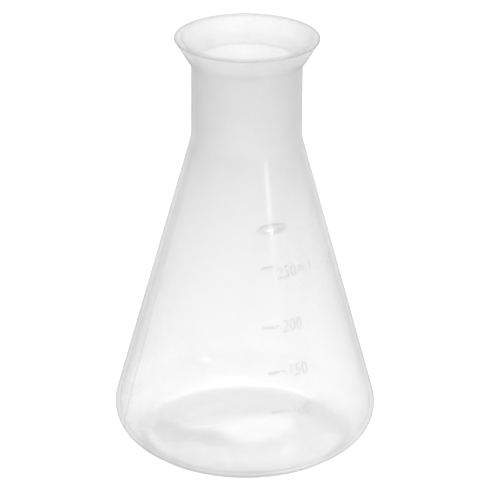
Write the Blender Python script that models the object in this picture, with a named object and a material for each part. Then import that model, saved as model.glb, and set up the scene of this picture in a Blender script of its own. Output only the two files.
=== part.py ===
"""Conical flask, 250 ml, blown in one piece from natural translucent polypropylene.

Metres, +Z up. The origin is the centre of the base, on the surface that the flask stands on.
The body is a thin wall turned about the Z axis. The graduation lines, their numerals and a
blank oval pad are raised on the straight cone wall, to the right of the -Y side, and each is
a closed solid of its own that stands just clear of the wall.
"""

import math

import bmesh
import bpy
from mathutils import Vector

# Heights above the surface that the flask stands on
HEIGHT = 0.1380
FLARE_HEIGHT = 0.1288
INNER_FLARE_HEIGHT = 0.1296
SHOULDER_HEIGHT = 0.1049
PUSH_UP = 0.0075

# Outer radii: the cone's own is where its straight side would meet the bench
CONE_FOOT_RADIUS = 0.04621
NECK_RADIUS = 0.01760
RIM_RADIUS = 0.02325
FOOT_INNER_RADIUS = 0.0310

# The base turns up into the cone over two corners, given by radius and height
FOOT_CORNER = (0.03383, 0.0)
FOOT_ROUNDING = 0.0050
HEEL_CORNER = (0.04414, 0.00758)
HEEL_ROUNDING = 0.0109

# Wall thickness, and the width of the flat land on top of the rim
WALL = 0.0013
RIM_LAND = 0.0024

# Outer rounding, where two straight runs of the profile meet
SHOULDER_BLEND = 0.0145
FLARE_BLEND = 0.0015
RIM_EDGE_RADIUS = 0.0004

# Facets of the turned body
SEGMENTS = 64
ARC_STEP = math.radians(15)
DOME_STEPS = 5

# Raised marks
MARK_GAP = 0.0003
MARK_RELIEF = 0.0003
LINE_WIDTH = 0.0009
LINE_STEPS = 4
GLYPH_SIZE = 0.0058
GLYPH_CONDENSE = 0.75
GLYPH_PITCH = 0.0024
UNIT_SIZE = 0.0046
UNIT_PITCH = 0.0034
UNIT_START = 36.0

# Each graduation: millilitres, height, the line's two ends and the first numeral's centre in
# degrees round the wall from -Y towards +X, and how far the numerals' middle is off the line
GRADUATIONS = (
    (100, 0.0256, 12.6, 21.1, 23.5, 0.0),
    (150, 0.0379, 12.1, 21.5, 23.9, 0.0),
    (200, 0.0519, 10.2, 20.1, 23.3, 0.0),
    (250, 0.0703, 10.0, 18.3, 22.7, -0.0020),
)

# Blank pad: its middle in degrees and height, and its half width and half height
PAD_AZIMUTH = 20.6
PAD_HEIGHT = 0.0819
PAD_HALF_WIDTH = 0.0050
PAD_HALF_HEIGHT = 0.0019
PAD_POINTS = 24
PAD_RINGS = (0.94, 0.62, 0.31)

PLASTIC = (0.86, 0.87, 0.88)
RELIEF_PLASTIC = (0.80, 0.81, 0.83)

# The cone leans in by this angle
LEAN = math.atan2(CONE_FOOT_RADIUS - NECK_RADIUS, SHOULDER_HEIGHT)


def clear_scene():
    for existing in list(bpy.data.objects):
        bpy.data.objects.remove(existing, do_unlink=True)


def plastic(name, colour, roughness):
    """A milky plastic, named after the part that wears it."""
    material = bpy.data.materials.new(name)
    material.use_nodes = True
    shader = material.node_tree.nodes["Principled BSDF"]
    shader.inputs["Base Color"].default_value = (*colour, 1.0)
    shader.inputs["Roughness"].default_value = roughness
    shader.inputs["Metallic"].default_value = 0.0
    shader.inputs["Alpha"].default_value = 0.55
    return material


def add_part(name, mesh, colour, roughness):
    """Links the mesh as a named part with its own material."""
    mesh.name = name
    mesh.shade_smooth()
    mesh.set_sharp_from_angle(angle=math.radians(35))
    mesh.materials.append(plastic(name, colour, roughness))
    part = bpy.data.objects.new(name, mesh)
    bpy.context.scene.collection.objects.link(part)
    return part


def cone_radius(height):
    """The outer radius of the straight cone wall at a height."""
    return CONE_FOOT_RADIUS - height * math.tan(LEAN)


def inset(before, corner, after):
    """The corner of the inner wall that lies a wall's thickness inside an outer corner."""
    arriving = (Vector(corner) - Vector(before)).normalized()
    leaving = (Vector(after) - Vector(corner)).normalized()
    turn = leaving.angle_signed(arriving)
    inward = Vector((-arriving.y, arriving.x))
    return Vector(corner) + inward * WALL - arriving * WALL * math.tan(turn / 2)


def rounded(corners):
    """Points along straight runs through the (radius, height, rounding) corners.

    The first and the last corner are kept as they are, and each one between them that has a
    rounding becomes an arc.
    """
    points = [Vector(corners[0][:2])]
    for before, here, after in zip(corners, corners[1:], corners[2:]):
        corner = Vector(here[:2])
        arriving = (corner - Vector(before[:2])).normalized()
        leaving = (Vector(after[:2]) - corner).normalized()
        turn = arriving.angle_signed(leaving)
        if here[2] == 0.0 or abs(turn) < 1e-6:
            points.append(corner)
            continue
        reach = here[2] * math.tan(abs(turn) / 2)
        start = corner - arriving * reach
        inward = Vector((arriving.y, -arriving.x)) * math.copysign(1.0, turn)
        centre = start + inward * here[2]
        steps = max(2, math.ceil(abs(turn) / ARC_STEP))
        for step in range(steps + 1):
            swing = -turn * step / steps
            spoke = start - centre
            turned = Vector(
                (
                    spoke.x * math.cos(swing) - spoke.y * math.sin(swing),
                    spoke.x * math.sin(swing) + spoke.y * math.cos(swing),
                )
            )
            points.append(centre + turned)
    points.append(Vector(corners[-1][:2]))
    return points


def dome(lift):
    """Points of the pushed-up base, from its centre to the foot, raised by lift."""
    sphere = (FOOT_INNER_RADIUS**2 + PUSH_UP**2) / (2 * PUSH_UP)
    spread = math.asin(FOOT_INNER_RADIUS / sphere)
    points = []
    for step in range(DOME_STEPS):
        angle = spread * step / DOME_STEPS
        height = PUSH_UP + lift - sphere * (1 - math.cos(angle))
        points.append(Vector((sphere * math.sin(angle), height)))
    return points


def body_profile():
    """The wall's section: along the inner floor, up inside, over the rim and down outside."""
    foot = (FOOT_INNER_RADIUS, 0.0)
    shoulder = (NECK_RADIUS, SHOULDER_HEIGHT)
    flare = (NECK_RADIUS, FLARE_HEIGHT)
    inner_foot = inset(foot, FOOT_CORNER, HEEL_CORNER)
    inner_heel = inset(FOOT_CORNER, HEEL_CORNER, shoulder)
    inner_shoulder = inset(HEEL_CORNER, shoulder, flare)
    inner_neck = NECK_RADIUS - WALL
    inner_rim = RIM_RADIUS - RIM_LAND
    run = rounded(
        [
            (FOOT_INNER_RADIUS, WALL, 0.0),
            (*inner_foot, FOOT_ROUNDING - WALL),
            (*inner_heel, HEEL_ROUNDING - WALL),
            (*inner_shoulder, SHOULDER_BLEND + WALL),
            (inner_neck, INNER_FLARE_HEIGHT, FLARE_BLEND),
            (inner_rim, HEIGHT, RIM_EDGE_RADIUS),
            (RIM_RADIUS, HEIGHT, RIM_EDGE_RADIUS),
            (*flare, FLARE_BLEND),
            (*shoulder, SHOULDER_BLEND),
            (*HEEL_CORNER, HEEL_ROUNDING),
            (*FOOT_CORNER, FOOT_ROUNDING),
            (*foot, 0.0),
        ]
    )
    return dome(WALL) + run + dome(0.0)[::-1]


def turned_mesh(profile):
    """Turns a profile that starts and ends on the axis into a closed mesh."""
    shape = bmesh.new()
    rings = []
    for point in profile:
        if point.x < 1e-9:
            rings.append([shape.verts.new((0.0, 0.0, point.y))])
            continue
        ring = []
        for segment in range(SEGMENTS):
            angle = math.tau * segment / SEGMENTS
            place = (point.x * math.cos(angle), point.x * math.sin(angle), point.y)
            ring.append(shape.verts.new(place))
        rings.append(ring)
    for lower, upper in zip(rings, rings[1:]):
        for segment in range(SEGMENTS):
            after = (segment + 1) % SEGMENTS
            if len(lower) == 1:
                shape.faces.new((lower[0], upper[segment], upper[after]))
            elif len(upper) == 1:
                shape.faces.new((lower[segment], upper[0], lower[after]))
            else:
                shape.faces.new((lower[segment], upper[segment], upper[after], lower[after]))
    return finished_mesh(shape)


def finished_mesh(shape):
    """Turns the faces outwards and hands the shape over as a mesh."""
    bmesh.ops.recalc_face_normals(shape, faces=shape.faces[:])
    mesh = bpy.data.meshes.new("shape")
    shape.to_mesh(mesh)
    shape.free()
    return mesh


def on_wall(azimuth, height, across, along, proud):
    """A point on the cone wall.

    It is across metres round the wall and along metres up its slope from the azimuth (in
    degrees from -Y towards +X) and the height, and it stands proud of the wall.
    """
    level = height + along * math.cos(LEAN)
    radius = cone_radius(level) + proud * math.cos(LEAN)
    turn = math.radians(azimuth) + across / cone_radius(height)
    return (radius * math.sin(turn), -radius * math.cos(turn), level + proud * math.sin(LEAN))


def wrapped_solid(sections, azimuth, height):
    """A closed solid on the wall from like loops of (across, along, proud) points.

    The loops are joined in order, and the first and the last are filled.
    """
    shape = bmesh.new()
    loops = []
    for section in sections:
        loops.append([shape.verts.new(on_wall(azimuth, height, *point)) for point in section])
    for loop, following in zip(loops, loops[1:]):
        count = len(loop)
        for i in range(count):
            j = (i + 1) % count
            shape.faces.new((loop[i], loop[j], following[j], following[i]))
    shape.faces.new(loops[0][::-1])
    shape.faces.new(loops[-1])
    return finished_mesh(shape)


def line_mesh(height, start, end):
    """A graduation line: a bar with sloping flanks that follows the wall."""
    length = math.radians(end - start) * cone_radius(height)
    sections = []
    for step in range(LINE_STEPS + 1):
        across = length * (step / LINE_STEPS - 0.5)
        low = MARK_GAP
        high = MARK_GAP + MARK_RELIEF
        foot = LINE_WIDTH / 2
        crest = foot - MARK_RELIEF
        sections.append(
            (
                (across, -foot, low),
                (across, -crest, high),
                (across, crest, high),
                (across, foot, low),
            )
        )
    return wrapped_solid(sections, (start + end) / 2, height)


def pad_mesh():
    """The blank oval pad, with rings of points so that it follows the wall."""

    def ring(scale, proud):
        points = []
        for step in range(PAD_POINTS):
            angle = math.tau * step / PAD_POINTS
            across = PAD_HALF_WIDTH * scale * math.cos(angle)
            along = PAD_HALF_HEIGHT * scale * math.sin(angle)
            points.append((across, along, proud))
        return points

    top = MARK_GAP + MARK_RELIEF
    underside = [ring(scale, MARK_GAP) for scale in PAD_RINGS[::-1]]
    face = [ring(scale, top) for scale in PAD_RINGS]
    return wrapped_solid(underside + [ring(1.0, MARK_GAP)] + face, PAD_AZIMUTH, PAD_HEIGHT)


def glyph_mesh(character, size, azimuth, height, across):
    """One raised character, centred sideways on across and laid on the wall."""
    lettering = bpy.data.curves.new("lettering", "FONT")
    lettering.body = character
    lettering.size = size
    lettering.extrude = MARK_RELIEF / 2
    lettering.resolution_u = 3
    lettering.render_resolution_u = 3
    lettering.align_x = "CENTER"
    holder = bpy.data.objects.new("lettering", lettering)
    bpy.context.scene.collection.objects.link(holder)
    graph = bpy.context.evaluated_depsgraph_get()
    flat = bpy.data.meshes.new_from_object(holder.evaluated_get(graph))
    bpy.data.objects.remove(holder, do_unlink=True)

    shape = bmesh.new()
    shape.from_mesh(flat)
    bmesh.ops.remove_doubles(shape, verts=shape.verts[:], dist=1e-6)
    bottom = min(vertex.co.y for vertex in shape.verts)
    top = max(vertex.co.y for vertex in shape.verts)
    for vertex in shape.verts:
        sideways = across + vertex.co.x * GLYPH_CONDENSE
        upwards = vertex.co.y - (top + bottom) / 2
        proud = MARK_GAP + MARK_RELIEF / 2 + vertex.co.z
        vertex.co = on_wall(azimuth, height, sideways, upwards, proud)
    return finished_mesh(shape)


def add_graduation(volume, height, start, end, first, offset):
    """One graduation line with the numerals beside it."""
    add_part(f"line_{volume}", line_mesh(height, start, end), RELIEF_PLASTIC, 0.35)
    for place, digit in enumerate(str(volume)):
        mesh = glyph_mesh(digit, GLYPH_SIZE, first, height + offset, place * GLYPH_PITCH)
        add_part(f"digit_{volume}_{place + 1}", mesh, RELIEF_PLASTIC, 0.35)


def add_unit(height):
    """The unit's two letters, after the top graduation's numerals."""
    for place, letter in enumerate("ml"):
        mesh = glyph_mesh(letter, UNIT_SIZE, UNIT_START, height, (place + 0.5) * UNIT_PITCH)
        add_part(f"letter_{letter}", mesh, RELIEF_PLASTIC, 0.35)


def main():
    clear_scene()
    add_part("flask_body", turned_mesh(body_profile()), PLASTIC, 0.25)
    for graduation in GRADUATIONS:
        add_graduation(*graduation)
    top_height, top_offset = GRADUATIONS[-1][1], GRADUATIONS[-1][5]
    add_unit(top_height + top_offset)
    add_part("blank_pad", pad_mesh(), RELIEF_PLASTIC, 0.35)


main()
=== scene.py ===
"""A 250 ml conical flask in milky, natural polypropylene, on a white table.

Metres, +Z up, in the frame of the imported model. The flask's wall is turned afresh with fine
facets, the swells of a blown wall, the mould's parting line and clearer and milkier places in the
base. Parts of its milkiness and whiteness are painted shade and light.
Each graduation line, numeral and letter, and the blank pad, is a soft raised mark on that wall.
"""

import math

import bmesh
import bpy
from mathutils import Matrix, Vector, noise


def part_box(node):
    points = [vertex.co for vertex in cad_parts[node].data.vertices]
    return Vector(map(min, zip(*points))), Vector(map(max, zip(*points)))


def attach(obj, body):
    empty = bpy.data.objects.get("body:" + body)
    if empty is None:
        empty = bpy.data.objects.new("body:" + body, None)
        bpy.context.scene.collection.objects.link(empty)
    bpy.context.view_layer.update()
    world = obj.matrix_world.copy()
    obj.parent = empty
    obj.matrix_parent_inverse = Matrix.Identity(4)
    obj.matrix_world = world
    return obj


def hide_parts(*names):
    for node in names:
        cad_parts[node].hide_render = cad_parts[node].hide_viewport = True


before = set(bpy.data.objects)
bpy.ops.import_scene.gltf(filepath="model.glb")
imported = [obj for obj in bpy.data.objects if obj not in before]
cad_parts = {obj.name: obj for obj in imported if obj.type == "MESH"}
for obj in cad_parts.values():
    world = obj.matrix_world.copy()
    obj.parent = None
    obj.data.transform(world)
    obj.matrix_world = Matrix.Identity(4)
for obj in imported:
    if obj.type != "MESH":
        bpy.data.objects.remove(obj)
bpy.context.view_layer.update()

body_low, body_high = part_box("flask_body")

# The moulding's section, as in the CAD model
HEIGHT = body_high[2]
FLARE_HEIGHT = 0.1288
INNER_FLARE_HEIGHT = 0.1296
SHOULDER_HEIGHT = 0.1049
PUSH_UP = 0.0075
CONE_FOOT_RADIUS = 0.04621
NECK_RADIUS = 0.01760
RIM_RADIUS = 0.02325
FOOT_INNER_RADIUS = 0.0310
FOOT_CORNER = (0.03383, 0.0)
FOOT_ROUNDING = 0.0050
HEEL_CORNER = (0.04414, 0.00758)
HEEL_ROUNDING = 0.0109
WALL = 0.0013
RIM_LAND = 0.0024
SHOULDER_BLEND = 0.0145
FLARE_BLEND = 0.0015
RIM_EDGE_RADIUS = 0.0004
LEAN = math.atan2(CONE_FOOT_RADIUS - NECK_RADIUS, SHOULDER_HEIGHT)

# Fineness of the turned wall: places round it, and the steps along its section
SEGMENTS = 336
ARC_STEP = math.radians(6)
RUN_STEP = 0.0030
FLARE_STEP = 0.0007
DOME_STEPS = 34

# The mould's parting plane, and the fine ridge that it leaves on the outside, with the degrees
# beside it where the wall has extra points
PARTING = math.radians(-66.0)
RIDGE_OFFSETS = (0.14, 0.28, 0.42, 0.60, 0.85, 1.2)
RIDGE_HALF_WIDTH = 0.00026
RIDGE_HEIGHT = 0.00011
RIDGE_STARTS = (0.002, 0.008)
MOULD_STEP = 0.00005

# The blown wall's unevenness: how often it swells, and by how much on each face
SWELLS_PER_METRE = 38.0
SWELL_STRETCH = 0.6
INNER_SWELL = 0.00013
OUTER_SWELL = 0.00005

# How milky each face of the wall is, by height: metres and optical depth looking straight in
OUTER, INNER = 0, 1
WALL_FILM = (
    (0.001, 0.080),
    (0.018, 0.077),
    (0.030, 0.093),
    (0.045, 0.125),
    (0.060, 0.156),
    (0.075, 0.182),
    (0.090, 0.235),
    (0.100, 0.305),
    (0.110, 0.410),
    (0.131, 0.420),
)

# The flare's optical depth and the heights over which the neck's turns into it, then the edges
# of the rim and the land between them, with how far down from the top each reaches
FLARE_FILM = 0.26
FLARE_CLEARS = (0.1300, 0.1340)
RIM_EDGE_FILM = {OUTER: 1.00, INNER: 0.26}
LAND_FILM = 0.10
RIM_EDGE = 0.0007
LAND_DEPTH = 0.00004
LEAST_FILM = 0.006

# Painted light: the far side of the neck's top, seen through the mouth, is made clearer and so
# brighter, as light falling in through the mouth would make it
THROAT = (0.1235, 0.1258)
THROAT_PAINTED_LIGHT = 0.27

# Painted shade and light where the bore opens into the flare: a milkier, darker ring and a clearer,
# brighter ring on the inner face for the lip's arcs: height, half height and the part by which each
# changes the inner face's optical depth
LIP_PAINTED_RINGS = ((0.1299, 0.0007, 0.60), (0.1312, 0.0008, -0.35))

# The outer face's share of the wall's optical depth, by height; the inner face has the rest, up
# to 2 for both
OUTER_SHARE = (
    (0.000, 1.30),
    (0.040, 1.30),
    (0.090, 1.00),
    (0.128, 1.00),
    (0.132, 1.35),
)

# The parting line itself is milkier, over a half width, and a haze runs along one side of it
PARTING_FILM_GAIN = 4.0
PARTING_FILM_HALF_WIDTH = 0.00045
FAR_PARTING_SHARE = 0.3
HAZE_BESIDE_PARTING = 0.20

# The outer face's extra optical depth at the foot, greatest in front
HEEL_FILM = (
    (0.000, 0.24),
    (0.004, 0.26),
    (0.006, 0.20),
    (0.008, 0.10),
    (0.011, 0.00),
)
HEEL_AZIMUTH = math.radians(-20.0)
HEEL_SPREAD = (0.62, 0.97)

# The base's optical depth in its centre, its change per metre towards the back, and the radii
# over which the base turns into the side wall
BASE_FILM = 0.205
BASE_FILM_SLOPE = -6.3
BASE_EDGE = (0.0340, 0.0358)

# How white the milk of the outer face is, by height: painted shade that greys the heel, the upper neck
# and the flare's root
OUTER_PAINTED_SHADE = (
    (0.000, 0.70),
    (0.008, 0.78),
    (0.022, 0.86),
    (0.050, 0.95),
    (0.060, 1.00),
    (0.095, 1.00),
    (0.112, 0.92),
    (0.127, 0.95),
    (0.130, 0.83),
    (0.133, 0.90),
    (0.138, 0.97),
)

# Painted shade on the flare: its whiteness at the back, and how much darker its root is painted at the
# sides, between heights
BACK_FLARE_PAINTED_SHADE = 1.0
FLARE_SIDE_PAINTED_SHADE = -0.12
FLARE_ROOT = ((0.1286, 0.1302), (0.1355, 0.1325))

# Outlines of clearer and milkier places in the base, in millimetres from its centre
LEAF = (
    (-8.8, -10.7), (-6.8, -8.5), (-4.2, -7.5), (-1.2, -6.5), (2.0, -5.0), (5.3, -3.8),
    (9.6, -1.8), (13.2, -1.0), (15.9, -2.0), (16.8, -5.2), (15.4, -9.9), (13.1, -13.3),
    (10.1, -16.1), (6.6, -18.3), (2.0, -19.6), (-1.6, -19.0), (-4.2, -17.2), (-6.4, -14.5),
)
FOLD_BEFORE_LEAF = (
    (-30.0, 0.4), (-28.8, 3.1), (-25.7, 1.6), (-23.0, -2.8), (-19.9, -7.7), (-15.9, -10.7),
    (-11.7, -12.3), (-8.1, -14.2), (-5.5, -17.0), (-2.5, -19.6), (-4.5, -20.3),
    (-10.0, -18.8), (-16.5, -16.9), (-23.1, -13.7), (-27.4, -10.1), (-29.9, -4.5),
)
RIGHT_EDGE = (
    (20.7, 9.5), (22.9, 23.2), (25.7, 23.9), (29.0, 19.4), (31.5, 11.8), (32.6, 4.4),
    (31.4, -3.7), (27.7, -3.7), (23.2, -0.2), (19.2, 2.4),
)
RIPPLE_BEHIND_LEAF = (
    (-14.0, -5.7), (-11.1, -1.7), (-7.9, 0.6), (-3.2, -0.9), (2.0, -0.3), (8.0, 3.0),
    (14.0, 9.0), (15.0, 5.0), (12.5, 1.6), (6.3, -2.6), (0.4, -4.5), (-5.2, -6.3),
    (-10.1, -7.8),
)
FRONT_EDGE = (
    (-28.1, -11.1), (-19.8, -16.4), (-10.0, -20.2), (-1.9, -21.6), (5.2, -21.3),
    (9.1, -19.5), (11.1, -20.9), (7.2, -23.9), (1.4, -25.9), (-6.7, -26.5), (-14.8, -24.3),
    (-22.0, -18.7),
)
LEFT_EDGE = (
    (-32.7, 1.4), (-32.9, 8.8), (-30.4, 14.1), (-26.1, 17.8), (-22.6, 10.9), (-21.1, 2.1),
    (-21.7, -3.3), (-25.7, 1.8), (-29.1, 2.6), (-30.9, -3.7),
)
KNOT = ((-28.0, -3.6), (-26.2, -1.6), (-24.4, -3.4), (-26.2, -5.6))
# Painted highlights: two small clear spots in the base where glints show
PAINTED_GLINT_BEFORE_KNOT = ((-25.9, -8.2), (-25.2, -7.4), (-24.6, -8.2), (-25.2, -9.0))
PAINTED_GLINT_IN_FRONT = ((12.6, -21.6), (13.7, -21.0), (14.8, -21.6), (13.7, -22.2))

# Each place with the optical depth that it adds and the half width of its soft edge
BASE_PLACES = (
    (-0.125, 2.0, LEAF),
    (0.270, 1.4, FOLD_BEFORE_LEAF),
    (0.110, 2.5, RIGHT_EDGE),
    (0.034, 1.6, RIPPLE_BEHIND_LEAF),
    (0.130, 3.5, FRONT_EDGE),
    (0.045, 2.5, LEFT_EDGE),
    (0.120, 1.2, KNOT),
    # painted highlights: the two clear spots
    (-0.350, 0.5, PAINTED_GLINT_BEFORE_KNOT),
    (-0.300, 0.5, PAINTED_GLINT_IN_FRONT),
)

# The seam in the base, an open line in millimetres, thinner over its half width, and how deeply
# the leaf beside it is hollowed from below
SEAM = ((-21.3, -5.5), (-17.6, -8.5), (-14.0, -10.2), (-10.7, -10.9), (-7.8, -10.9))
SEAM_HALF_WIDTH = 0.70
SEAM_CORE = 0.2
SEAM_FILM = -0.150
LEAF_HOLLOW = 0.00025
LEAF_REACH = 0.021

# The camera: a long lens, looking down at the flask and a little out of level
CAMERA_ELEVATION = math.radians(23.333)
CAMERA_DISTANCE = 0.9928
CAMERA_TARGET_HEIGHT = 0.06698
CAMERA_SENSOR = 36.0
CAMERA_LENS = 226.4253
CAMERA_SHIFT = -0.0016327
CAMERA_ROLL = math.radians(0.37)

# The studio: a softbox is its azimuth and elevation in degrees, its distance, width and height
# in metres, and its radiance
WORLD_STRENGTH = 0.30
TABLE_GLOW = 0.68
TABLE_HALF_WIDTH = 4.0
OVERHEAD_SOFTBOX = (180.0, 55.0, 1.6, 1.2, 1.2, 1.7)
SIDE_SOFTBOX = (38.0, 19.3, 1.2, 0.15, 0.56, 3.6)

# Raised marks: how far they sink into the wall and stand proud of it, and their sizes
MARK_SINK = 0.00004
MARK_RELIEF = 0.00030
LINE_WIDTH = 0.0009
GLYPH_SIZE = 0.0058
UNIT_SIZE = 0.0046
GLYPH_CONDENSE = 0.75


def smooth(low, high, value):
    """0 at low, 1 at high, level beyond them and a smooth ramp between them."""
    t = min(max((value - low) / (high - low), 0.0), 1.0)
    return t * t * (3 - 2 * t)


def along(table, value):
    """Reads a table of (position, value) pairs with straight runs between them."""
    for (start, first), (end, last) in zip(table, table[1:]):
        if value <= end:
            return first + (last - first) * max(value - start, 0.0) / (end - start)
    return table[-1][1]


def cone_radius(height):
    """The outer radius of the straight cone wall at a height."""
    return CONE_FOOT_RADIUS - height * math.tan(LEAN)


# ---------------------------------------------------------------- the turned wall


def inset(before, corner, after):
    """The corner of the inner wall that lies a wall's thickness inside an outer corner."""
    arriving = (Vector(corner) - Vector(before)).normalized()
    leaving = (Vector(after) - Vector(corner)).normalized()
    turn = leaving.angle_signed(arriving)
    inward = Vector((-arriving.y, arriving.x))
    return Vector(corner) + inward * WALL - arriving * WALL * math.tan(turn / 2)


def rounded(corners):
    """Points along straight runs through the (radius, height, rounding) corners."""
    points = [Vector(corners[0][:2])]

    def run_to(end):
        start = points[-1]
        stride = FLARE_STEP if start.y > FLARE_HEIGHT and end.y > FLARE_HEIGHT else RUN_STEP
        steps = max(1, math.ceil((end - start).length / stride))
        for step in range(1, steps + 1):
            points.append(start.lerp(end, step / steps))

    for before, here, after in zip(corners, corners[1:], corners[2:]):
        corner = Vector(here[:2])
        arriving = (corner - Vector(before[:2])).normalized()
        leaving = (Vector(after[:2]) - corner).normalized()
        turn = arriving.angle_signed(leaving)
        if here[2] == 0.0 or abs(turn) < 1e-6:
            run_to(corner)
            continue
        reach = here[2] * math.tan(abs(turn) / 2)
        start = corner - arriving * reach
        run_to(start)
        inward = Vector((arriving.y, -arriving.x)) * math.copysign(1.0, turn)
        centre = start + inward * here[2]
        steps = max(4, math.ceil(abs(turn) / ARC_STEP))
        for step in range(1, steps + 1):
            swing = -turn * step / steps
            spoke = start - centre
            turned = Vector(
                (
                    spoke.x * math.cos(swing) - spoke.y * math.sin(swing),
                    spoke.x * math.sin(swing) + spoke.y * math.cos(swing),
                )
            )
            points.append(centre + turned)
    run_to(Vector(corners[-1][:2]))
    return points


def dome(lift):
    """Points of the pushed-up base, from its centre to the foot, raised by lift."""
    sphere = (FOOT_INNER_RADIUS**2 + PUSH_UP**2) / (2 * PUSH_UP)
    spread = math.asin(FOOT_INNER_RADIUS / sphere)
    points = []
    for step in range(DOME_STEPS):
        angle = spread * step / DOME_STEPS
        height = PUSH_UP + lift - sphere * (1 - math.cos(angle))
        points.append(Vector((sphere * math.sin(angle), height)))
    return points


def body_sections():
    """The inner and the outer run of the wall's section, which meet on top of the rim."""
    foot = (FOOT_INNER_RADIUS, 0.0)
    shoulder = (NECK_RADIUS, SHOULDER_HEIGHT)
    flare = (NECK_RADIUS, FLARE_HEIGHT)
    inner_foot = inset(foot, FOOT_CORNER, HEEL_CORNER)
    inner_heel = inset(FOOT_CORNER, HEEL_CORNER, shoulder)
    inner_shoulder = inset(HEEL_CORNER, shoulder, flare)
    inner_neck = NECK_RADIUS - WALL
    inner_rim = RIM_RADIUS - RIM_LAND
    middle = (RIM_RADIUS - RIM_LAND / 2, HEIGHT)
    inner = dome(WALL) + rounded(
        [
            (FOOT_INNER_RADIUS, WALL, 0.0),
            (*inner_foot, FOOT_ROUNDING - WALL),
            (*inner_heel, HEEL_ROUNDING - WALL),
            (*inner_shoulder, SHOULDER_BLEND + WALL),
            (inner_neck, INNER_FLARE_HEIGHT, FLARE_BLEND),
            (inner_rim, HEIGHT, RIM_EDGE_RADIUS),
            (*middle, 0.0),
        ]
    )
    outer = rounded(
        [
            (*middle, 0.0),
            (RIM_RADIUS, HEIGHT, RIM_EDGE_RADIUS),
            (*flare, FLARE_BLEND),
            (*shoulder, SHOULDER_BLEND),
            (*HEEL_CORNER, HEEL_ROUNDING),
            (*FOOT_CORNER, FOOT_ROUNDING),
            (*foot, 0.0),
        ]
    )
    return inner, outer[1:] + dome(0.0)[::-1]


def azimuths():
    """Angles round the flask from -Y towards +X, closer together at the parting line."""
    angles = [math.tau * step / SEGMENTS for step in range(SEGMENTS)]
    for side in (PARTING, PARTING + math.pi):
        centre = side % math.tau
        angles = [a for a in angles if abs(a - centre) > math.radians(1.3)]
        angles.append(centre)
        for offset in RIDGE_OFFSETS:
            angles.append(centre + math.radians(offset))
            angles.append(centre - math.radians(offset))
    return sorted(angles)


def parting_distance(azimuth, radius):
    """How far a point is round the wall from the nearer parting line, with its side."""
    nearest = math.pi
    for side in (PARTING, PARTING + math.pi):
        gap = (azimuth - side + math.pi) % math.tau - math.pi
        if abs(gap) < abs(nearest):
            nearest = gap
    return nearest * radius


def shift_of(face, radius, height, azimuth):
    """How far the blown wall stands off its ideal section here, outwards positive."""
    x, y = radius * math.sin(azimuth), -radius * math.cos(azimuth)
    place = Vector((x, y, height * SWELL_STRETCH)) * SWELLS_PER_METRE
    uneven = noise.noise(place + Vector((face * 7.3, 2.1, 0.4)))
    calm = 1.0 - smooth(FLARE_HEIGHT, FLARE_HEIGHT + 0.004, height)
    settle = smooth(0.0008, 0.004, height)
    if face == INNER:
        return uneven * INNER_SWELL * calm
    shift = (uneven - 1.0) * OUTER_SWELL * calm * settle
    if radius < FOOT_INNER_RADIUS and height > 0.0006:
        return shift
    if radius > FOOT_INNER_RADIUS * 0.5 and height > 0.0004:
        gap = parting_distance(azimuth, radius)
        ridge = max(0.0, 1.0 - (gap / RIDGE_HALF_WIDTH) ** 2) ** 2
        shift += RIDGE_HEIGHT * ridge * smooth(*RIDGE_STARTS, height) * calm
    half = math.sin(azimuth - PARTING)
    return shift - MOULD_STEP * smooth(-0.004, 0.004, -half) * calm * settle


def line_distance(x, y, line):
    """Distance from a point to an open line of points."""
    nearest = math.inf
    for (ax, ay), (bx, by) in zip(line, line[1:]):
        span = (bx - ax) ** 2 + (by - ay) ** 2
        t = min(max(((x - ax) * (bx - ax) + (y - ay) * (by - ay)) / span, 0.0), 1.0)
        nearest = min(nearest, math.hypot(x - ax - t * (bx - ax), y - ay - t * (by - ay)))
    return nearest


def outline_distance(x, y, outline):
    """Distance from a point to a closed outline, negative inside it."""
    closed = outline + outline[:1]
    inside = False
    for (ax, ay), (bx, by) in zip(closed, closed[1:]):
        if (ay > y) != (by > y) and x < ax + (y - ay) / (by - ay) * (bx - ax):
            inside = not inside
    nearest = line_distance(x, y, closed)
    return -nearest if inside else nearest


def base_film(x, y):
    """The optical depth of the base at a point, in metres from its centre."""
    film = BASE_FILM + BASE_FILM_SLOPE * y
    x, y = x * 1000, y * 1000
    for depth, softness, outline in BASE_PLACES:
        film += depth * smooth(softness, -softness, outline_distance(x, y, outline))
    return film + SEAM_FILM * smooth(SEAM_HALF_WIDTH, SEAM_CORE, line_distance(x, y, SEAM))


def leaf_hollow(x, y):
    """How far the thin leaf in the base is hollowed from below."""
    gap = outline_distance(x * 1000, y * 1000, LEAF)
    return LEAF_HOLLOW * smooth(0.6, -1.6, gap)


def side_film(face, height, azimuth):
    """The optical depth of the side wall and the rim, before the base and the parting line."""
    film = along(WALL_FILM, height)
    share = along(OUTER_SHARE, height)
    film += (FLARE_FILM - film) * smooth(*FLARE_CLEARS, height)
    # painted light: the far side of the neck's top is made clearer and so brighter
    if FLARE_HEIGHT - 0.006 < height < INNER_FLARE_HEIGHT:
        behind = smooth(0.2, -0.4, math.cos(azimuth))
        film *= 1.0 - THROAT_PAINTED_LIGHT * behind * smooth(*THROAT, height)
    film *= share if face == OUTER else max(2.0 - share, 0.6)
    if face == OUTER:
        film += along(HEEL_FILM, height) * smooth(*HEEL_SPREAD, math.cos(azimuth - HEEL_AZIMUTH))
    else:
        # painted shade and light: a milkier and a clearer ring on the inner face at the bore's top
        for middle, half, part in LIP_PAINTED_RINGS:
            film *= 1.0 + part * smooth(half, 0.0, abs(height - middle))
    if height > HEIGHT - RIM_EDGE:
        film = LAND_FILM if height > HEIGHT - LAND_DEPTH else RIM_EDGE_FILM[face]
    return film


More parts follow.
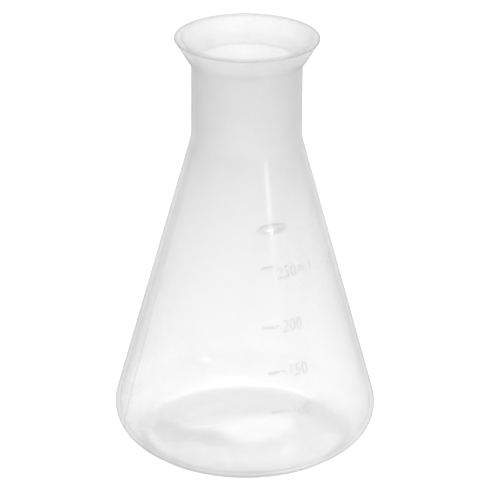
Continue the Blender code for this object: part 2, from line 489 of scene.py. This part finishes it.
def parting_gain(radius, height, azimuth):
    """How much milkier the parting line and the haze on one side of it make the outer face."""
    gap = parting_distance(azimuth, radius)
    fade = smooth(0.115, 0.085, height) * smooth(0.006, 0.012, height)
    if math.sin(azimuth) > 0:
        fade *= FAR_PARTING_SHARE
    line = max(0.0, 1.0 - (gap / PARTING_FILM_HALF_WIDTH) ** 2) * fade
    beside = smooth(0.0, -0.0010, gap) * smooth(-0.030, -0.008, gap)
    haze = beside * smooth(0.085, 0.060, height)
    return (1.0 + PARTING_FILM_GAIN * line) * (1.0 + HAZE_BESIDE_PARTING * haze)


def film_of(face, radius, height, azimuth):
    """The optical depth of the plastic under this point of the wall, looking straight in."""
    film = side_film(face, height, azimuth)
    inside = 1.0 - smooth(*BASE_EDGE, radius)
    if height < PUSH_UP + 2 * WALL and inside > 0.0:
        x, y = radius * math.sin(azimuth), -radius * math.cos(azimuth)
        film += (base_film(x, y) - film) * inside
    if face == OUTER and radius > FOOT_INNER_RADIUS * 0.5:
        film *= parting_gain(radius, height, azimuth)
    return max(film, LEAST_FILM)


def shade_of(face, radius, height, azimuth):
    """How white the milk is at a point of the wall, with painted shade greying the outer face's foot,
    neck top and flare root.
    """
    if face == INNER or (radius < FOOT_INNER_RADIUS and height < PUSH_UP + WALL):
        return 1.0
    # painted shade: the outer face's milk is greyed by height
    shade = along(OUTER_PAINTED_SHADE, height)
    # painted shade on the flare: its root is greyed at the sides, and its back is set to one whiteness
    if height > FLARE_HEIGHT - 0.002:
        root = smooth(*FLARE_ROOT[0], height) * smooth(*FLARE_ROOT[1], height)
        shade += FLARE_SIDE_PAINTED_SHADE * root * smooth(0.86, 0.52, math.cos(azimuth))
        shade += (BACK_FLARE_PAINTED_SHADE - shade) * smooth(0.1, -0.3, math.cos(azimuth))
    return shade


def flask_mesh():
    """The whole wall, turned and shifted, as one closed mesh with its milkiness and painted shade on
    its points.
    """
    inner, outer = body_sections()
    section = [(point, INNER) for point in inner] + [(point, OUTER) for point in outer]
    angles = azimuths()
    shape = bmesh.new()
    film_layer = shape.verts.layers.float.new("film")
    painted_shade_layer = shape.verts.layers.float.new("shade")
    rings = []
    for i, (point, face) in enumerate(section):
        before = section[max(i - 1, 0)][0]
        after = section[min(i + 1, len(section) - 1)][0]
        tangent = (after - before).normalized()
        normal = Vector((tangent.y, -tangent.x)) * (-1.0 if face == OUTER else 1.0)
        if point.x < 1e-9:
            vertex = shape.verts.new((0.0, 0.0, point.y))
            vertex[film_layer] = film_of(face, 0.0, point.y, 0.0)
            vertex[painted_shade_layer] = 1.0
            rings.append([vertex])
            continue
        outwards = normal if normal.x >= 0 else -normal
        ring = []
        for angle in angles:
            shift = shift_of(face, point.x, point.y, angle)
            moved = point + outwards * shift
            if face == OUTER and point.x < LEAF_REACH and point.y < PUSH_UP + WALL:
                hollow = leaf_hollow(point.x * math.sin(angle), -point.x * math.cos(angle))
                moved = moved + Vector((0.0, hollow))
            place = (moved.x * math.sin(angle), -moved.x * math.cos(angle), moved.y)
            vertex = shape.verts.new(place)
            vertex[film_layer] = film_of(face, point.x, point.y, angle)
            vertex[painted_shade_layer] = shade_of(face, point.x, point.y, angle)
            ring.append(vertex)
        rings.append(ring)
    count = len(angles)
    for lower, upper in zip(rings, rings[1:]):
        for segment in range(count):
            following = (segment + 1) % count
            if len(lower) == 1:
                shape.faces.new((lower[0], upper[segment], upper[following]))
            elif len(upper) == 1:
                shape.faces.new((lower[segment], upper[0], lower[following]))
            else:
                quad = (lower[segment], upper[segment], upper[following], lower[following])
                shape.faces.new(quad)
    return finished_mesh(shape)


def finished_mesh(shape):
    """Turns the faces outwards and hands the shape over as a smooth-shaded mesh."""
    bmesh.ops.recalc_face_normals(shape, faces=shape.faces[:])
    mesh = bpy.data.meshes.new("shape")
    shape.to_mesh(mesh)
    shape.free()
    mesh.shade_smooth()
    return mesh


# ---------------------------------------------------------------- the raised marks


def on_wall(azimuth, height, across, upwards, proud):
    """A point on the cone wall, across and up from a place on it, and proud of it."""
    level = height + upwards * math.cos(LEAN)
    radius = cone_radius(level) + proud * math.cos(LEAN)
    turn = azimuth + across / cone_radius(height)
    return Vector(
        (radius * math.sin(turn), -radius * math.cos(turn), level + proud * math.sin(LEAN))
    )


def place_of(node):
    """Where a CAD mark is on the wall: its azimuth and height, and half its width round it."""
    low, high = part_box(node)
    start = math.atan2(low[0], -low[1])
    end = math.atan2(high[0], -high[1])
    height = (low[2] + high[2]) / 2
    return (start + end) / 2, height, abs(end - start) / 2 * cone_radius(height)


def soft_profile(half, steps):
    """A soft ridge's section: (sideways, proud) points from one foot over the crest."""
    points = []
    for step in range(steps + 1):
        t = -1.0 + 2.0 * step / steps
        rise = (1.0 - abs(t) ** 2.6) ** 0.8
        points.append((half * t, -MARK_SINK + (MARK_RELIEF + MARK_SINK) * rise))
    return points


def line_mesh(node):
    """A graduation line: a soft rounded bar with rounded ends that follows the wall."""
    azimuth, height, half = place_of(node)
    steps = 28
    shape = bmesh.new()
    rings = []
    for step in range(steps + 1):
        t = -math.cos(math.pi * step / steps)
        across = half * t
        into_end = max(0.0, abs(across) - (half - LINE_WIDTH / 2))
        end = max(1.0 - into_end**2 / (LINE_WIDTH / 2) ** 2, 0.0)
        narrow = max(math.sqrt(end), 0.05)
        ring = []
        for sideways, proud in soft_profile(LINE_WIDTH / 2 * narrow, 12):
            lifted = -MARK_SINK + (proud + MARK_SINK) * narrow
            ring.append(shape.verts.new(on_wall(azimuth, height, across, sideways, lifted)))
        for sideways in (0.5, 0.0, -0.5):
            under = LINE_WIDTH / 2 * narrow * sideways
            ring.append(shape.verts.new(on_wall(azimuth, height, across, under, -MARK_SINK * 1.4)))
        rings.append(ring)
    count = len(rings[0])
    for ring, following in zip(rings, rings[1:]):
        for i in range(count):
            j = (i + 1) % count
            shape.faces.new((ring[i], ring[j], following[j], following[i]))
    shape.faces.new(rings[0][::-1])
    shape.faces.new(rings[-1])
    return finished_mesh(shape)


def pad_mesh(node):
    """The blank oval pad: a soft rounded edge round a face that is dished a little."""
    azimuth, height, half_width = place_of(node)
    low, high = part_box(node)
    half_height = (high[2] - low[2]) / 2 / math.cos(LEAN) - MARK_RELIEF * math.sin(LEAN)
    edge = 0.0006
    stations = []
    for step in range(13):
        t = step / 12
        stations.append((1.0 - t, math.sin(t * math.pi / 2)))
    rings = []
    shape = bmesh.new()
    count = 72

    def ring(inset_by, proud):
        made = []
        for step in range(count):
            angle = math.tau * step / count
            across = (half_width - inset_by) * math.cos(angle)
            upwards = (half_height - inset_by) * math.sin(angle)
            made.append(shape.verts.new(on_wall(azimuth, height, across, upwards, proud)))
        rings.append(made)

    for inset_by in (0.0013, 0.0007, 0.0002):
        ring(inset_by, -MARK_SINK * 1.4)
    for back, rise in stations:
        ring(edge * (1.0 - back), -MARK_SINK + (MARK_RELIEF + MARK_SINK) * rise)
    for inset_by in (0.0008, 0.0010, 0.0013, 0.0016):
        dish = smooth(0.0006, 0.0013, inset_by) * MARK_RELIEF * 0.80
        ring(inset_by, MARK_RELIEF - dish)
    for inner, outer in zip(rings, rings[1:]):
        for i in range(count):
            j = (i + 1) % count
            shape.faces.new((inner[i], inner[j], outer[j], outer[i]))
    shape.faces.new(rings[0][::-1])
    shape.faces.new(rings[-1])
    return finished_mesh(shape)


def glyph_mesh(character, size, node):
    """One raised character with soft edges, laid on the wall where its CAD node is."""
    azimuth, height, _ = place_of(node)
    lettering = bpy.data.curves.new("lettering", "FONT")
    lettering.body = character
    lettering.size = size
    lettering.offset = -0.00009
    lettering.extrude = 0.00003
    lettering.bevel_depth = 0.00013
    lettering.bevel_resolution = 3
    lettering.resolution_u = 8
    lettering.render_resolution_u = 8
    lettering.align_x = "CENTER"
    holder = bpy.data.objects.new("lettering", lettering)
    bpy.context.scene.collection.objects.link(holder)
    graph = bpy.context.evaluated_depsgraph_get()
    flat = bpy.data.meshes.new_from_object(holder.evaluated_get(graph))
    bpy.data.objects.remove(holder, do_unlink=True)

    shape = bmesh.new()
    shape.from_mesh(flat)
    bmesh.ops.remove_doubles(shape, verts=shape.verts[:], dist=2e-6)
    bottom = min(vertex.co.y for vertex in shape.verts)
    top = max(vertex.co.y for vertex in shape.verts)
    left = min(vertex.co.x for vertex in shape.verts)
    right = max(vertex.co.x for vertex in shape.verts)
    for vertex in shape.verts:
        sideways = (vertex.co.x - (left + right) / 2) * GLYPH_CONDENSE
        upwards = vertex.co.y - (top + bottom) / 2
        proud = MARK_RELIEF / 2 - MARK_SINK / 2 + vertex.co.z
        vertex.co = on_wall(azimuth, height, sideways, upwards, proud)
    return finished_mesh(shape)


# ---------------------------------------------------------------- materials


class Graph:
    """Adds and joins nodes in one material."""

    def __init__(self, name):
        self.material = bpy.data.materials.new(name)
        self.material.use_nodes = True
        self.tree = self.material.node_tree
        self.tree.nodes.clear()

    def node(self, kind, settings=None, **inputs):
        made = self.tree.nodes.new("ShaderNode" + kind)
        for key, value in (settings or {}).items():
            setattr(made, key, value)
        for key, value in inputs.items():
            socket = made.inputs[key.replace("_", " ")]
            self.put(socket, value)
        return made

    def put(self, socket, value):
        if isinstance(value, bpy.types.NodeSocket):
            self.tree.links.new(value, socket)
        else:
            socket.default_value = value

    def maths(self, operation, *values):
        made = self.tree.nodes.new("ShaderNodeMath")
        made.operation = operation
        for socket, value in zip(made.inputs, values):
            self.put(socket, value)
        return made.outputs[0]

    def noise(self, vector, scale, detail, low, high, roughness=0.5):
        """A noise texture whose middle part runs from low to high."""
        texture = self.node(
            "TexNoise", Vector=vector, Scale=scale, Detail=detail, Roughness=roughness
        )
        ranged = self.node("MapRange", Value=texture.outputs[0])
        for name, value in (("From Min", 0.3), ("From Max", 0.7), ("To Min", low), ("To Max", high)):
            ranged.inputs[name].default_value = value
        return ranged.outputs[0]

    def mix(self, share, first, second):
        made = self.tree.nodes.new("ShaderNodeMixShader")
        for socket, value in zip(made.inputs, (share, first, second)):
            self.put(socket, value)
        return made.outputs[0]

    def finish(self, surface):
        output = self.tree.nodes.new("ShaderNodeOutputMaterial")
        self.tree.links.new(surface, output.inputs["Surface"])
        return self.material


def milky_plastic(name, shade, film=None, gloss=0.035, grain=1.0, edge=1.0):
    """Natural polypropylene: clear by its optical depth and the angle, milky for the rest.

    film is the optical depth, or None to read it from the mesh's points, with its whiteness and
    painted shade. A higher edge makes slopes that face sideways milkier.
    """
    graph = Graph(name)
    where = graph.node("TexCoord").outputs["Object"]
    stretched = graph.node("Mapping", Vector=where)
    stretched.inputs["Scale"].default_value = (1.0, 1.0, 0.07)

    clouds = graph.noise(where, 62.0, 3.0, 1.0 - 0.10 * grain, 1.0 + 0.10 * grain)
    flow = graph.noise(stretched.outputs[0], 230.0, 2.0, 1.0 - 0.06 * grain, 1.0 + 0.06 * grain)
    if film is None:
        depth = graph.node("Attribute", {"attribute_name": "film"}).outputs["Fac"]
    else:
        depth = film
    depth = graph.maths("MULTIPLY", depth, clouds)
    depth = graph.maths("MULTIPLY", depth, flow)
    facing = graph.node("LayerWeight", Blend=0.5).outputs["Facing"]
    cosine = graph.maths("MAXIMUM", graph.maths("SUBTRACT", 1.0, facing), 0.05)
    if edge != 1.0:
        cosine = graph.maths("POWER", cosine, edge)
    path = graph.maths("DIVIDE", depth, cosine)
    clear = graph.maths("POWER", math.exp(-1.0), path)
    milkiness = graph.maths("SUBTRACT", 1.0, clear)

    tone = graph.noise(where, 140.0, 4.0, 0.0, 1.0)
    colour = graph.node("Mix", {"data_type": "RGBA"})
    graph.put(colour.inputs["Factor"], tone)
    for socket in colour.inputs:
        if socket.type == "RGBA":
            amount = shade * (0.97 if socket.name == "A" else 1.02)
            socket.default_value = (amount, amount, amount, 1.0)
    tint = [socket for socket in colour.outputs if socket.type == "RGBA"][0]
    if film is None:
        # the mesh's shade attribute carries painted shade that greys the milk
        painted_shade_factor = graph.node("Attribute", {"attribute_name": "shade"}).outputs["Fac"]
        tint = graph.node("VectorMath", {"operation": "SCALE"}, Vector=tint, Scale=painted_shade_factor)
        tint = tint.outputs[0]

    waves = graph.node("TexNoise", Vector=where, Scale=60.0, Detail=1.0).outputs[0]
    ripple = graph.node("TexNoise", Vector=stretched.outputs[0], Scale=110.0, Detail=1.0).outputs[0]
    relief = graph.maths("ADD", waves, graph.maths("MULTIPLY", ripple, 0.3))
    bump = graph.node("Bump", Height=relief, Strength=0.3, Distance=0.0003).outputs[0]

    roughness = graph.noise(where, 260.0, 2.0, 0.26, 0.32)
    milk = graph.node("BsdfPrincipled", Roughness=roughness, Normal=bump)
    graph.put(milk.inputs["Base Color"], tint)
    milk.inputs["IOR"].default_value = 1.49
    milk.inputs["Specular IOR Level"].default_value = 0.0
    glow = graph.node("BsdfTranslucent", Color=tint, Normal=bump)
    body = graph.mix(0.45, milk.outputs[0], glow.outputs[0])
    see_through = graph.mix(milkiness, graph.node("BsdfTransparent").outputs[0], body)
    shine = graph.node("BsdfGlossy", Roughness=graph.noise(where, 210.0, 2.0, 0.11, 0.14), Normal=bump)
    return graph.finish(graph.mix(gloss, see_through, shine.outputs[0]))


def table_material():
    """Matt white table top, lit a little from within like a light table."""
    graph = Graph("table_white")
    where = graph.node("TexCoord").outputs["Object"]
    roughness = graph.noise(where, 30.0, 3.0, 0.75, 0.85)
    top = graph.node("BsdfPrincipled", Roughness=roughness)
    top.inputs["Base Color"].default_value = (0.93, 0.93, 0.93, 1.0)
    top.inputs["Specular IOR Level"].default_value = 0.0
    top.inputs["Emission Color"].default_value = (1.0, 1.0, 1.0, 1.0)
    top.inputs["Emission Strength"].default_value = TABLE_GLOW
    return graph.finish(top.outputs[0])


# ---------------------------------------------------------------- pieces


def add_piece(name, mesh, material, node):
    """Links a mesh as a piece that stands for a CAD node."""
    mesh.name = name
    mesh.materials.append(material)
    piece = bpy.data.objects.new(name, mesh)
    bpy.context.scene.collection.objects.link(piece)
    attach(piece, "root")
    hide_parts(node)
    return piece


def add_flask():
    wall_plastic = milky_plastic("wall_plastic", 0.93)
    add_piece("flask_wall", flask_mesh(), wall_plastic, "flask_body")


def add_marks():
    mark_plastic = milky_plastic("mark_plastic", 0.93, film=0.032, gloss=0.13, edge=2.8)
    for volume in (100, 150, 200, 250):
        node = f"line_{volume}"
        add_piece(f"mark_{node}", line_mesh(node), mark_plastic, node)
        for place, digit in enumerate(str(volume)):
            node = f"digit_{volume}_{place + 1}"
            mesh = glyph_mesh(digit, GLYPH_SIZE, node)
            add_piece(f"mark_{node}", mesh, mark_plastic, node)
    for letter in "ml":
        node = f"letter_{letter}"
        mesh = glyph_mesh(letter, UNIT_SIZE, node)
        add_piece(f"mark_{node}", mesh, mark_plastic, node)
    add_piece("mark_pad", pad_mesh("blank_pad"), mark_plastic, "blank_pad")


# ---------------------------------------------------------------- stage


def add_floor():
    half = TABLE_HALF_WIDTH
    shape = bmesh.new()
    corners = [(-half, -half), (half, -half), (half, half), (-half, half)]
    shape.faces.new([shape.verts.new((x, y, -0.0001)) for x, y in corners])
    mesh = bpy.data.meshes.new("table")
    shape.to_mesh(mesh)
    shape.free()
    mesh.materials.append(table_material())
    floor = bpy.data.objects.new("table", mesh)
    bpy.context.scene.collection.objects.link(floor)


def add_softbox(name, azimuth, elevation, distance, width, height, radiance):
    """A rectangular softbox, given by where it is seen from the flask, which it faces."""
    target = Vector((0.0, 0.0, 0.07))
    turn, rise = math.radians(azimuth), math.radians(elevation)
    towards = Vector(
        (math.cos(rise) * math.sin(turn), -math.cos(rise) * math.cos(turn), math.sin(rise))
    )
    lamp = bpy.data.lights.new(name, "AREA")
    lamp.shape = "RECTANGLE"
    lamp.size = width
    lamp.size_y = height
    lamp.energy = radiance * math.pi * width * height
    holder = bpy.data.objects.new(name, lamp)
    holder.location = target + towards * distance
    holder.rotation_euler = towards.to_track_quat("Z", "Y").to_euler()
    bpy.context.scene.collection.objects.link(holder)


def add_lights():
    world = bpy.data.worlds.new("studio")
    world.use_nodes = True
    background = world.node_tree.nodes["Background"]
    background.inputs["Color"].default_value = (1.0, 1.0, 1.0, 1.0)
    background.inputs["Strength"].default_value = WORLD_STRENGTH
    bpy.context.scene.world = world
    add_softbox("overhead_softbox", *OVERHEAD_SOFTBOX)
    add_softbox("side_softbox", *SIDE_SOFTBOX)


def add_camera():
    """The camera looks down at the flask from the -Y side with a long lens."""
    camera = bpy.data.cameras.new("camera")
    camera.sensor_width = CAMERA_SENSOR
    camera.lens = CAMERA_LENS
    camera.shift_x = CAMERA_SHIFT
    camera.clip_start = 0.05
    holder = bpy.data.objects.new("camera", camera)
    height = CAMERA_TARGET_HEIGHT + CAMERA_DISTANCE * math.sin(CAMERA_ELEVATION)
    holder.location = (0.0, -CAMERA_DISTANCE * math.cos(CAMERA_ELEVATION), height)
    tilt = Matrix.Rotation(math.pi / 2 - CAMERA_ELEVATION, 3, "X")
    holder.rotation_euler = (tilt @ Matrix.Rotation(CAMERA_ROLL, 3, "Z")).to_euler()
    bpy.context.scene.collection.objects.link(holder)
    bpy.context.scene.camera = holder


def main():
    scene = bpy.context.scene
    scene.view_settings.view_transform = "Standard"
    scene.cycles.transparent_max_bounces = 32
    scene.cycles.denoising_input_passes = "RGB"
    scene.cycles.sampling_pattern = "TABULATED_SOBOL"
    add_camera()
    add_lights()
    add_floor()
    add_flask()
    add_marks()


main()
